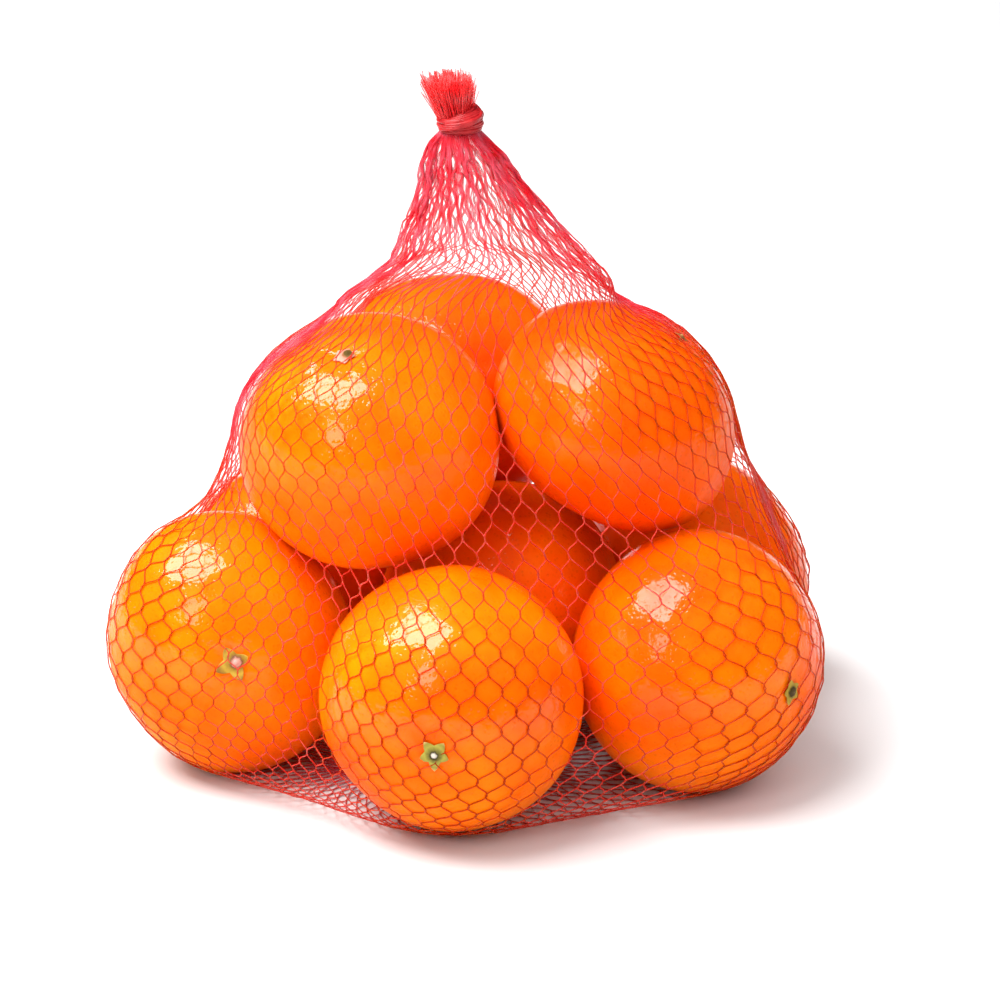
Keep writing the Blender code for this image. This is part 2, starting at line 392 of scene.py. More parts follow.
def growCalyx(name, fruit, materials):
    kind, shape = calyxKinds[fruit["calyx"]], calyxShape
    own = np.random.default_rng(kind["seed"] + fruit["seed"])
    bm = bmesh.new()
    around, down = shape["segments"]
    bmesh.ops.create_uvsphere(bm, u_segments=around, v_segments=down, radius=1.0)
    phase, lengths = own.uniform(0.0, math.tau), own.uniform(*shape["lengths"], kind["points"])
    rings = []
    for vert in bm.verts:
        spin = math.atan2(vert.co.y, vert.co.x) + phase
        out = min(1.0, math.hypot(vert.co.x, vert.co.y)) ** shape["open"]
        along = spin / math.tau * kind["points"] + 0.5
        lobe = (1.0 - 2.0 * abs(along % 1.0 - 0.5)) ** shape["lobe"]
        length = lengths[int(along) % kind["points"]]
        reach = kind["reach"] * (kind["waist"] + (length - kind["waist"]) * lobe)
        radius = out * reach
        top = 1.0 if vert.co.z > 0 else 0.0
        height = kind["thick"] * vert.co.z * 0.5
        place = (radius * math.cos(spin), radius * math.sin(spin))
        fromHeart = math.hypot(place[0], place[1] - kind["aside"])
        button = math.exp(-(fromHeart / (shape["buttonWidth"] * kind["heart"])) ** 4)
        rim = math.exp(-((fromHeart - kind["heart"]) / shape["rimWidth"]) ** 2)
        height += top * (shape["buttonHeight"] * button + shape["rimHeight"] * rim)
        height += kind["curl"] * (radius / kind["reach"]) ** shape["curlLate"]
        height -= radius * radius / (2.0 * shape["peelRadius"])
        vert.co = (*place, height)
        rings.append(fromHeart / kind["reach"])
    seat = peelSwell(fruit, np.array([[0.0, 0.0, 1.0]]))[0] * fruit["half"][2]
    turn = Matrix([list(row) for row in fruit["axes"]])
    bmesh.ops.translate(bm, vec=(0.0, 0.0, seat + shape["lift"]), verts=bm.verts)
    bmesh.ops.rotate(bm, cent=(0, 0, 0), matrix=turn, verts=bm.verts)
    bmesh.ops.translate(bm, vec=fruit["centre"], verts=bm.verts)
    mesh = bmeshToMesh(bm, name)
    mesh.attributes.new("ring", "FLOAT", "POINT").data.foreach_set("value", np.array(rings, np.float32))
    addPiece(name, mesh, materials[fruit["calyx"]])


prepareFruit()
peel = peelMaterial()
calyxes = {
    "green": calyxMaterial("greenMandarinCalyx", [
        (0.0, "#DCD2C6"), (0.14, "#C8BCAA"), (0.22, "#3E3418"), (0.36, "#746A2A"), (0.60, "#A69C3E"),
        (0.85, "#948636"), (1.0, "#C0A45C"),
    ]),
    "olive": calyxMaterial("oliveMandarinCalyx", [
        (0.0, "#6A5A3A"), (0.16, "#4A3A1E"), (0.34, "#40300F"), (0.5, "#A0842C"), (0.8, "#B08E30"),
        (1.0, "#C09A40"),
    ]),
    "pale": calyxMaterial("paleMandarinCalyx", [
        (0.0, "#E0B4A8"), (0.22, "#D09C8C"), (0.32, "#7C5036"), (0.42, "#9C7E2C"), (0.70, "#C4A83C"),
        (1.0, "#94722E"),
    ]),
    "dry": calyxMaterial("dryMandarinCalyx", [
        (0.0, "#B98A55"), (0.35, "#7A4A22"), (0.7, "#8E5A26"), (1.0, "#A8662A"),
    ]),
    "torn": calyxMaterial("tornMandarinCalyx", [
        (0.0, "#4A3A0C"), (0.34, "#5E4A14"), (0.46, "#8A6038"), (0.58, "#C08670"), (1.0, "#D4A08C"),
    ]),
}
for fruitName, fruit in mandarins.items():
    growPeel("mandarin_" + fruitName, fruit, peel)
    growCalyx("calyx_" + fruitName, fruit, calyxes)
print("fruit grown")


# a knitted tube of honeycomb cells: two threads lie side by side in every link and part into the two
# strands of a cell, all in mm
net = {
    "columns": 84,
    "rows": 52,
    "link": 2.0,
    "strand": 4.1,
    "widest": 7.6,  # a cell opens no further
    "linkShare": 0.42,  # of the height of a row
    "thread": 0.36,
    "steps": (2, 4),  # of the curve, along a link and along a strand
    "gap": 0.30,
    "floorGap": 0.35,
    "threadGap": 0.04,  # between the peel and the side of a thread
    "threadFloor": 0.25,
    "neckTape": 0.5,  # the flat threads show their wider side in the neck
    "tapeFrom": (128.0, 146.0),
    "neck": np.array([-1.6, -4.0, 157.8]),
    "neckRadius": 4.3,
    "knotHolds": 4.0,  # how far below the neck
    "foot": np.array([-17.5, -17.5, 1.5]),
    "footRadius": 3.5,
    "footDraws": 45.0,  # how far round the foot the net is drawn towards it, on the floor
    "footDrawsBelow": 2.0,
    "slackBelow": (18.0, 60.0),
    "bunchedBelow": (1.1, 3.9),
    "freeThreadGlow": 0.34,  # painted glow: threads that hang free of the fruit are made pinker
    "clearFrom": (1.2, 4.6),  # mm off the peel
    "tuck": ((0.75, 1.6), (0.55, 4.0)),
    "crowdSides": 0.05,  # the columns lie closer together on both sides than in front and behind
    "pieces": 5,
}


def slackness(points):
    return 1.0 - smoothStep(*net["slackBelow"], points[..., 2])


def freeOfKnot(points):
    # 0 where the knot holds the threads, 1 from a little below it
    return smoothStep(0.0, net["knotHolds"], net["neck"][2] - points[..., 2])


# mm: height, and how far out the net may stand there on the left and on the right; the heights are taken
# along planes that fall towards the back, and above takesOver the net fills that width
outline = np.array([
    (41, -92, 150), (54, -80, 150), (61, -69, 150),  # up to here only the fruit hold the right side
    (67, -62, 90), (80, -57, 67), (90, -54.5, 64.5), (103, -48, 58), (110, -40.5, 50.5),
    (116, -32.5, 42.5), (120.5, -23.5, 36.5), (124, -19, 32.5), (127, -17, 28.5), (133, -14.5, 23),
    (140, -11.5, 17), (146, -10, 12.5), (152.5, -9, 8), (156, -7.5, 4.5), (158, -5.5, 3),
])
sides = {
    "fall": 0.384,
    "takesOver": (112.0, 127.0),
    "deepest": 1.0,  # a ring that is widened gets no deeper than it was
}


def widthAt(points):
    height = points[..., 2] + sides["fall"] * (points[..., 1] - net["neck"][1])
    return [np.interp(height, outline[:, 0], outline[:, side]) for side in (1, 2)]


def holdSides(points):
    # nothing stands further out than the two sides
    points[..., 0] = np.clip(points[..., 0], *widthAt(points))
    return points


def clearOfPeel(points):
    # 0 where a thread lies on a fruit, 1 where nothing orange is behind it
    nearest = np.full(points.shape[:-1], 100.0)
    for fruit in mandarins.values():
        inner = ((points - fruit["centre"]) @ fruit["axes"]) / fruit["half"]
        off = (np.linalg.norm(inner, axis=-1) - 1.0) * fruit["half"].mean()
        nearest = np.minimum(nearest, off)
    return smoothStep(*net["clearFrom"], nearest)


film = {
    "around": 96,
    "rings": 64,
    "startHalf": (105.0, 95.0),
    "startRise": 0.8,
    "rounds": 500,
    "step": 0.8,
    "spread": 0.03,
    "sink": (0.02, 0.12),
    "gap": 0.6,
}


def relaxFilm():
    # a film tied at the neck and evened out round after round, stopped by the fruit and the floor
    around, rings, neck = film["around"], film["rings"], net["neck"]
    spin = np.arange(around) / around * math.tau
    ringAngle = np.arange(rings + 1)[:, None] / rings * math.pi
    girth, height = np.sin(ringAngle), (1.0 - np.cos(ringAngle)) / 2.0
    sheet = np.stack([
        film["startHalf"][0] * girth * np.cos(spin) + neck[0] * height * girth,
        film["startHalf"][1] * girth * np.sin(spin) + neck[1] * height * girth,
        np.broadcast_to(height ** film["startRise"] * neck[2], (rings + 1, around)),
    ], axis=-1)
    tied = np.stack([
        neck[0] + net["neckRadius"] * np.cos(spin),
        neck[1] + net["neckRadius"] * np.sin(spin),
        np.full(around, neck[2]),
    ], axis=-1)
    for _ in range(film["rounds"]):
        sideways = np.roll(sheet, 1, 1) + np.roll(sheet, -1, 1)
        upDown = np.concatenate([sheet[1:], sheet[-1:]]) + np.concatenate([sheet[:1], sheet[:-1]])
        slack = slackness(sheet)
        move = film["step"] * ((sideways + upDown) / 4.0 - sheet)
        move += unit(sheet * (1.0, 1.0, 0.0)) * (film["spread"] * slack)[..., None]
        move[..., 2] -= between(film["sink"], slack)
        sheet = holdSides(sheet + move)
        sheet[0] = sheet[1].mean(axis=0)
        sheet = pushOffPeel(sheet.reshape(-1, 3), film["gap"]).reshape(sheet.shape)
        sheet[..., 2] = np.maximum(sheet[..., 2], 0.0)
        sheet[-2], sheet[-1] = tied, neck
    return sheet[:-1]


def hangNet(sheet):
    # sets the links out on the film, each row one cell above the last as far as the mesh opens there
    columns, rows, foot = net["columns"], net["rows"], net["foot"]
    halves = 2 * columns
    spin = np.arange(halves) / halves * math.tau
    crowded = spin - net["crowdSides"] * np.sin(2.0 * spin)
    at = crowded / math.tau * film["around"]
    left = np.floor(at).astype(int)
    right = (left + 1) % film["around"]
    part = (at - left)[None, :, None]
    sheet = sheet[:, left % film["around"]] * (1.0 - part) + sheet[:, right] * part
    # the rows under the fruit are drawn towards the closed foot
    middle = sheet[0].mean(axis=0)
    reach = np.linalg.norm(sheet[..., :2] - middle[:2], axis=2)
    drawn = np.clip(1.0 - reach / net["footDraws"], 0.0, 1.0) * (sheet[..., 2] < net["footDrawsBelow"])
    sheet[..., :2] += (foot[:2] - middle[:2]) * drawn[..., None]
    step = np.linalg.norm(np.diff(sheet, axis=0), axis=2)
    cell = np.linalg.norm(np.roll(sheet, -1, 1) - np.roll(sheet, 1, 1), axis=2)
    cell = np.minimum((cell[1:] + cell[:-1]) / 2.0, net["widest"])
    pitch = net["link"] + np.sqrt(net["strand"] ** 2 - (cell / 2.0) ** 2)
    count = np.vstack([np.zeros(halves), np.cumsum(step / pitch, axis=0)])
    nodes = np.zeros((rows, columns, 2, 3))
    for row in range(rows):
        for end in (0, 1):
            share = (row + end * net["linkShare"]) / (rows - 1 + net["linkShare"])
            for column in range(columns):
                half = (2 * column + row % 2) % halves
                up = share * count[-1, half]
                nodes[row, column, end] = [
                    np.interp(up, count[:, half], sheet[:, half, axis]) for axis in range(3)
                ]
    spin = np.arange(columns) / columns * math.tau
    nodes[0, :, 0, 0] = foot[0] + net["footRadius"] * np.cos(spin)
    nodes[0, :, 0, 1] = foot[1] + net["footRadius"] * np.sin(spin)
    nodes[0, :, 0, 2] = foot[2]
    return nodes


draping = {
    "rounds": 260,
    "pull": 0.25,
    "squeeze": 0.04,  # a thread is easily bunched up, but never stretched
    "hurry": 1.5,
    "even": 0.4,
    "spread": 0.012,
    "sink": (0.004, 0.02),
}


def drapeNet(nodes):
    # tension along every thread, then its real length, then the fruit and the floor in its way
    rows, columns = nodes.shape[:2]
    index = np.arange(rows * columns * 2).reshape(rows, columns, 2)
    pairs = [np.stack([index[..., 0].ravel(), index[..., 1].ravel()], axis=1)]
    for row in range(rows - 1):
        beside = 1 if row % 2 == 0 else -1
        pairs.append(np.stack([index[row, :, 1], index[row + 1, :, 0]], axis=1))
        pairs.append(np.stack([index[row, :, 1], np.roll(index[row + 1, :, 0], beside)], axis=1))
    length = np.concatenate([
        np.full(len(pairs[0]), net["link"]), np.full(sum(map(len, pairs[1:])), net["strand"]),
    ])
    pairs = np.concatenate(pairs)
    points = nodes.reshape(-1, 3).copy()
    start = points.copy()
    fixed = np.concatenate([index[0, :, 0], index[-1, :, 1]])
    total = len(points)
    stiff = 1.0 / length
    weight = np.bincount(pairs.ravel(), weights=np.repeat(stiff, 2), minlength=total)[:, None]
    meets = np.bincount(pairs.ravel(), minlength=total)[:, None]

    def gather(change):
        # what each link and strand does to the points at its two ends, summed for every point
        first, second = (np.stack([
            np.bincount(pairs[:, end], weights=change[:, axis], minlength=total) for axis in range(3)
        ], axis=1) for end in (0, 1))
        return first - second

    isStrand = (np.arange(len(pairs)) >= rows * columns)[:, None]
    for _ in range(draping["rounds"]):
        span = points[pairs[:, 1]] - points[pairs[:, 0]]
        points += draping["pull"] * gather(span * stiff[:, None]) / weight
        slack = slackness(points)
        fromAxis = np.linalg.norm(points[:, :2], axis=1)[:, None]
        points[:, :2] += draping["spread"] * slack[:, None] * points[:, :2] / fromAxis
        points[:, 2] -= between(draping["sink"], slack)
        # both strands that leave a link reach equally far to its sides
        span = (points[pairs[:, 1]] - points[pairs[:, 0]]) * isStrand
        shaped = points.reshape(nodes.shape)
        across = np.roll(shaped, -1, 1) - np.roll(shaped, 1, 1)
        link = unit(shaped[:, :, 1:] - shaped[:, :, :1])
        across = unit(across - link * (across * link).sum(axis=-1, keepdims=True)).reshape(-1, 3)
        points += draping["even"] * (gather(span) / 2.0 * across).sum(axis=1)[:, None] * across
        for _ in range(2):
            span = points[pairs[:, 1]] - points[pairs[:, 0]]
            now = np.linalg.norm(span, axis=1)
            off = (now - length) / np.maximum(now, 1e-6)
            off = np.where(off < 0.0, off * draping["squeeze"], off)
            points += gather(span * (off * 0.5)[:, None]) * draping["hurry"] / meets
        points = pushOffPeel(holdSides(points), net["gap"])
        points[:, 2] = np.maximum(points[:, 2], net["floorGap"])
        points[fixed] = start[fixed]
    return points.reshape(nodes.shape)


def shapeNeck(nodes):
    # each ring of the neck is widened until it stands at its two sides, and hangs nearly flat between them
    made = nodes.copy()
    for row in range(nodes.shape[0]):
        for end in (0, 1):
            ring = nodes[row, :, end]
            low, high = ring.min(axis=0), ring.max(axis=0)
            left, right = widthAt(ring)
            wide = high[0] - low[0]
            share = (ring[:, 0] - low[0]) / wide
            across = ring[:, 0] + (left - low[0]) * (1.0 - share) ** 2 + (right - high[0]) * share ** 2
            middle = (low[1] + high[1]) / 2.0
            deepen = np.minimum((right - left) / wide, sides["deepest"])
            fitted = np.stack([across, middle + (ring[:, 1] - middle) * deepen, ring[:, 2]], axis=1)
            part = smoothStep(*sides["takesOver"], ring[:, 2])[:, None]
            made[row, :, end] = ring * (1.0 - part) + fitted * part
    return made


# the net is folded on itself down the left side, and more loosely down the right: where round the net, how
# far the columns are drawn together there, over how many columns, between which heights it begins, how much
# of it is undone further up, and how far it stands out in mm
folds = (
    dict(at=0.535, draw=0.82, over=12.0, begins=(56.0, 100.0), undone=0.45, lift=2.4),
    dict(at=0.005, draw=0.66, over=12.0, begins=(-5.0, 36.0), undone=0.6, lift=0.5),
)
foldsEnd = (112.0, 128.0)
# above them the columns are spread from side to side again, and then crowd into small pleats at the knot
evened = {"between": (112.0, 132.0), "share": 0.6, "depthCounts": 0.3}
pleats = {
    "from": 112.0,
    "count": 9,
    "crowding": 0.60,
    "depth": 0.8,
    "early": 0.6,  # under 1 brings most of them in low down
    "uneven": (1.7, 0.8),
}


def foldNet(nodes):
    # the columns are drawn together along each fold, and near the knot into many small pleats
    rows, columns = nodes.shape[:2]
    made = nodes.copy()
    for row in range(rows):
        for end in (0, 1):
            ring = nodes[row, :, end]
            at = np.arange(columns) + 0.5 * (row % 2)
            shift, lift = np.zeros(columns), np.zeros(columns)
            for fold in folds:
                off = (at - fold["at"] * columns + columns / 2.0) % columns - columns / 2.0
                near = np.exp(-(off / fold["over"]) ** 2)
                begun = smoothStep(*fold["begins"], ring[:, 2])
                ended = smoothStep(*foldsEnd, ring[:, 2])
                shift -= fold["draw"] * begun * (1.0 - fold["undone"] * ended) * off * near
                lift += fold["lift"] * begun * (1.0 - ended) * near
            rise = smoothStep(pleats["from"], net["neck"][2], ring[:, 2]) ** pleats["early"]
            rise = rise * freeOfKnot(ring)
            spin = at / columns * math.tau
            wave = pleats["count"] * spin + pleats["uneven"][0] * np.sin(2.0 * spin + 0.6)
            wave += pleats["uneven"][1] * np.sin(5.0 * spin)
            pleatWidth = columns / (math.tau * pleats["count"])
            shift += pleats["crowding"] * pleatWidth * np.sin(wave) * rise
            # the neck hangs nearly flat, so what lies between two columns there is measured mostly across
            step = np.diff(np.vstack([ring, ring[:1]]), axis=0) * (1.0, evened["depthCounts"], 0.0)
            length = np.append(0.0, np.cumsum(np.linalg.norm(step, axis=1)))
            equal = np.arange(columns) / columns * length[-1]
            even = np.interp(equal, length, np.arange(columns + 1)) - np.arange(columns)
            shift += even * evened["share"] * smoothStep(*evened["between"], ring[:, 2].mean())
            places = np.arange(columns) + shift
            low = np.floor(places).astype(int)
            part = (places - low)[:, None]
            moved = ring[low % columns] * (1.0 - part) + ring[(low + 1) % columns] * part
            outward = unit((moved - moved.mean(axis=0)) * (1.0, 1.0, 0.0))
            made[row, :, end] = moved + outward * (lift - pleats["depth"] * np.cos(wave) * rise)[:, None]
    return made


rumpled = {
    "begins": (108.0, 138.0),
    "much": (0.10, 0.40),
    "upright": 0.5,
}


def rumpleNet(nodes):
    # threads wander a little where they are stretched over the fruit, and a lot in the crumpled neck
    inner = nodes[1:-1]
    rise = smoothStep(*rumpled["begins"], inner[..., 2])
    much = between(rumpled["much"], rise * freeOfKnot(inner))
    inner += random.normal(0.0, 1.0, inner.shape) * much[..., None] * (1.0, 1.0, rumpled["upright"])
    return nodes


def threadPaths(nodes):
    # every thread zigzags between two neighbouring half columns and never crosses its neighbour; a fourth
    # number at each point says how closely the threads are bunched there, raised where they hang free of the
    # fruit, and the net's material paints it as a pinker glow
    rows, columns = nodes.shape[:2]
    neck = net["neck"]
    across = np.roll(nodes, -1, 1) - np.roll(nodes, 1, 1)
    spacing = np.linalg.norm(across, axis=-1) / 2.0
    spacing = (spacing + np.roll(spacing, 1, 1) + np.roll(spacing, -1, 1)) / 3.0
    bunched = 1.0 - smoothStep(*net["bunchedBelow"], spacing)
    bunched = np.maximum(bunched, net["freeThreadGlow"] * clearOfPeel(nodes))
    link = unit(nodes[:, :, 1:] - nodes[:, :, :1])
    across = unit(across - link * (across * link).sum(axis=-1, keepdims=True))
    across *= 0.5 * net["thread"]
    paths = []
    for thread in range(2 * columns):
        points = []
        for row in range(rows):
            onRight = (thread - row) % 2 == 0
            half = thread if onRight else thread + 1
            column = ((half - row % 2) // 2) % columns
            side = 1.0 if onRight else -1.0
            for end in (0, 1):
                place = nodes[row, column, end] + side * across[row, column, end]
                points.append((*place, bunched[row, column, end]))
        outward = (points[-1][0] - neck[0], points[-1][1] - neck[1])
        for inward, up in net["tuck"]:  # the thread's end runs on up inside the knot
            points.append((
                neck[0] + inward * outward[0], neck[1] + inward * outward[1], neck[2] + up, 1.0,
            ))
        paths.append(splineThrough(np.array(points), net["steps"]))
    return paths


def netMaterial(name, glowStops):
    # extruded polyethylene thread, half clear: a single thread on the fruit is painted a darker coral, a
    # painted shade that makes a thin dark line, and where many lie together or hang free of the fruit it is
    # painted a fuller pink red, a painted glow, and made clearer
    material, tree, shader, place = newMaterial(name, {
        "Roughness": 0.38,
        "IOR": 1.51,
        "Specular IOR Level": 0.10,
        "Subsurface Radius": (1.0, 0.45, 0.4),
        "Subsurface Scale": 1.0 * mm,
    })
    streak = addNode(tree, "ShaderNodeTexNoise", {
        "Scale": 1 / (5 * mm), "Detail": 3.0,
    }, {"Vector": place}).outputs["Fac"]
    singleShaded = addNode(tree, "ShaderNodeValToRGB", {"stops": [
        (0.3, "#B42C08"), (0.5, "#C4360E"), (0.7, "#D04418"),
    ]}, {"Fac": streak}).outputs["Color"]
    manyGlowing = addNode(tree, "ShaderNodeValToRGB", {"stops": glowStops}, {"Fac": streak}).outputs["Color"]
    bunched = addNode(tree, "ShaderNodeAttribute", {"attribute_name": "bunched"}).outputs["Fac"]
    # painted shade and glow: the darker ramp for single threads on the fruit, the pinker one where the glow
    # mask is high
    colour = addNode(tree, "ShaderNodeMix", {
        "data_type": "RGBA",
    }, {0: bunched, 6: singleShaded, 7: manyGlowing}).outputs[2]
    clear = addNode(tree, "ShaderNodeMapRange", {
        "To Min": 0.64, "To Max": 0.52,
    }, {"Value": bunched}).outputs["Result"]
    glow = addNode(tree, "ShaderNodeMapRange", {
        "To Min": 1.0, "To Max": 0.35,
    }, {"Value": bunched}).outputs["Result"]
    fibre = addNode(tree, "ShaderNodeTexNoise", {
        "Scale": 1 / (0.25 * mm), "Detail": 1.0,
    }, {"Vector": place}).outputs["Fac"]
    bump = addNode(tree, "ShaderNodeBump", {
        "Strength": 0.3, "Distance": 0.05 * mm,
    }, {"Height": fibre}).outputs["Normal"]
    plug(tree, shader, {
        "Base Color": colour, "Alpha": clear, "Subsurface Weight": glow, "Normal": bump,
    })
    return material


def knitNet(material):
    nodes = drapeNet(hangNet(relaxFilm()))
    nodes = rumpleNet(foldNet(shapeNeck(nodes)))
    paths = threadPaths(nodes)
    counts = [len(path) for path in paths]
    points = np.vstack(paths)
    points[:, :3] = pushOffPeel(points[:, :3].copy(), 0.5 * net["thread"] + net["threadGap"])
    points[:, 2] = np.maximum(points[:, 2], net["threadFloor"])
    paths = np.split(points, np.cumsum(counts)[:-1])
    ends = np.linspace(0, len(paths), net["pieces"] + 1).astype(int)
    for number in range(net["pieces"]):
        name = "net_strands_%d" % (number + 1)
        threads = paths[ends[number]:ends[number + 1]]
        widths = [
            net["thread"] * (1.0 + net["neckTape"] * smoothStep(*net["tapeFrom"], path[:, 2]))
            for path in threads
        ]
        mesh = threadsToMesh(name, threads, widths)
        addPiece(name, mesh, material, ["net_bag"])
        print(name, len(mesh.polygons), "faces")


knitNet(netMaterial("knittedPolyethyleneNet", [
    (0.35, "#E41A28"), (0.5, "#E03042"), (0.65, "#DC5062"),
]))
print("net knitted")


# mm above the top of the net, and half the knot's width; the upper turns stand high on the right
knot = {
    "offset": (0.2, 0.0, 0.0),
    "radius": 5.15,
    "thread": 0.92,
    "thinLeft": 0.78,  # of the thread's width
    "turnSteps": 48,
    "uneven": 0.10,
    "lowerTurns": 6,
    "lowerWaist": 0.86,  # of the radius
    "lowerFrom": 0.5,
    "lowerTo": (2.9, 3.5),  # on the left, on the right
    "upperTurns": 6,
    "upperNarrows": 0.34,
    "upperLeft": (2.7, 3.3),
    "upperRight": (3.7, 5.5),
    "straps": 3,
    "strapSteps": 30,
    # pairs are for the first strap, and how much more for each next one
    "strapFrom": (-150, 10),  # degrees round the neck
    "strapSweep": (175, -6),
    "strapFoot": (0.9, 0.7),
    "strapRise": (4.4, -0.5),
    "strapRisesLate": 1.2,
    "strapProud": 0.15,
    "strapBulge": 0.45,
    "strapBulgeEnds": 1.25,  # times as early as the strap
    "shoulderFrom": 0.6,  # of the way, where a strap starts to go in over the right shoulder
    "shoulderIn": 3.4,
    "shoulderRound": 0.9,
}
knotCore = {"half": (4.8, 4.8, 2.6), "lean": -16.0, "middle": (0.3, 0.0, 2.7)}
footKnot = {"turns": 3, "radius": 3.3, "thread": 0.9, "pitch": 0.7}


def woundMaterial():
    # the same thread wound tight and rubbed smooth: the eye sees darker red bands with long soft glints
    material, tree, shader, place = newMaterial("woundPolyethyleneKnot", {
        "Roughness": 0.34, "IOR": 1.51, "Specular IOR Level": 0.4,
    })
    band = addNode(tree, "ShaderNodeTexNoise", {
        "Scale": 1 / (2.2 * mm), "Detail": 3.0,
    }, {"Vector": place}).outputs["Fac"]
    colour = addNode(tree, "ShaderNodeValToRGB", {"stops": [
        (0.3, "#900A10"), (0.5, "#AE161C"), (0.75, "#C42A2C"),
    ]}, {"Fac": band}).outputs["Color"]
    fibre = addNode(tree, "ShaderNodeTexNoise", {
        "Scale": 1 / (0.5 * mm), "Detail": 2.0,
    }, {"Vector": place}).outputs["Fac"]
    bump = addNode(tree, "ShaderNodeBump", {
        "Strength": 0.35, "Distance": 0.12 * mm,
    }, {"Height": fibre}).outputs["Normal"]
    plug(tree, shader, {"Base Color": colour, "Normal": bump})
    return material


def turnOfThread(radius, heights, wobble, thickness):
    # one closed turn: its height runs from the left value to the right one
    run, thick = [], []
    for step in range(knot["turnSteps"] + 1):
        spin = step / knot["turnSteps"] * math.tau
        onRight = 0.5 + 0.5 * math.cos(spin)
        height = between(heights, onRight)
        height += knot["uneven"] * math.sin(3.0 * spin + wobble)
        reach = radius + knot["uneven"] * math.sin(2.0 * spin + 1.7 * wobble)
        run.append((reach * math.cos(spin), reach * math.sin(spin), height))
        thick.append(thickness * between((knot["thinLeft"], 1.0), onRight))
    return np.array(run), thick


def strapOfThread(number):
    begin, sweep, foot, rise = [
        first + more * number
        for first, more in (knot["strapFrom"], knot["strapSweep"], knot["strapFoot"], knot["strapRise"])
    ]
    run = []
    for step in range(knot["strapSteps"] + 1):
        share = step / knot["strapSteps"]
        spin = math.radians(begin + sweep * share)
        bulge = knot["strapBulge"] * math.sin(math.pi * min(1.0, share * knot["strapBulgeEnds"]))
        radius = knot["radius"] + knot["strapProud"] + bulge
        radius -= knot["shoulderIn"] * max(0.0, share - knot["shoulderFrom"]) ** knot["shoulderRound"]
        height = foot + rise * share ** knot["strapRisesLate"]
        run.append((radius * math.cos(spin), radius * math.sin(spin), height))
    return np.array(run), [knot["thread"]] * len(run)


def tieKnot(material):
    neck, turns = net["neck"] + knot["offset"], []
    for turn in range(knot["lowerTurns"]):
        share = turn / (knot["lowerTurns"] - 1)
        barrel = math.sin(math.pi * (0.15 + 0.75 * share))
        radius = knot["radius"] * between((knot["lowerWaist"], 1.0), barrel)
        heights = [between((knot["lowerFrom"], top), share) for top in knot["lowerTo"]]
        turns.append(turnOfThread(radius, heights, 2.1 * turn, knot["thread"]))
    for turn in range(knot["upperTurns"]):
        share = turn / (knot["upperTurns"] - 1)
        radius = knot["radius"] * (1.0 - knot["upperNarrows"] * share ** 2.2)
        heights = [between(knot[side], share) for side in ("upperLeft", "upperRight")]
        turns.append(turnOfThread(radius, heights, 1.3 * turn + 0.5, knot["thread"]))
    # the last turns cross the front and go over the right shoulder
    turns += [strapOfThread(number) for number in range(knot["straps"])]
    runs, widths = [run + neck for run, _ in turns], [thick for _, thick in turns]
    addPiece("knot_wound", threadsToMesh("knot_wound", runs, widths, sides=3), material, ["knot"])

    core = bmesh.new()  # the net's own strands, pressed solid inside the winding
    lean = Matrix.Rotation(math.radians(knotCore["lean"]), 3, "Y")
    bmesh.ops.create_uvsphere(core, u_segments=32, v_segments=16, radius=1.0)
    bmesh.ops.scale(core, vec=knotCore["half"], verts=core.verts)
    bmesh.ops.rotate(core, cent=(0, 0, 0), matrix=lean, verts=core.verts)
    bmesh.ops.translate(core, vec=neck + knotCore["middle"], verts=core.verts)
    addPiece("knot_core", bmeshToMesh(core, "knot_core"), material)

    closed = []  # the small tie under the fruit that shuts the other end of the net
    for turn in range(footKnot["turns"]):
        height = footKnot["pitch"] * (turn + 1)
        run, thick = turnOfThread(footKnot["radius"], [height] * 2, 1.9 * turn, footKnot["thread"])
        closed.append((run + net["foot"] * (1.0, 1.0, 0.0), thick))
    runs, widths = [run for run, _ in closed], [thick for _, thick in closed]
    addPiece("knot_foot", threadsToMesh("knot_foot", runs, widths, sides=2), material)


tuft = {
    "threads": 520,
    "strays": 10,
    "foot": 4.0,
    "flare": 6.1,
    "flares": (0.85, 1.12),
    "flareLate": 1.1,
    "flat": 0.9,
    "height": 10.6,
    "shortest": 0.72,
    "rounded": 0.14,  # how much lower the outermost threads end
    "begins": 2.6,
    "inKnot": 1.4,
    "from": -1.0,
    "lean": -1.8,
    "drift": 0.55,
    "wave": 0.34,
    "waves": 5.0,
    "points": 9,
    "thread": 0.33,
    "taper": (1.15, 0.75),
    "strayHeight": 0.85,  # times that of the other cut threads, as are the next two
    "strayFlare": 1.15,
    "strayThread": 0.8,
}


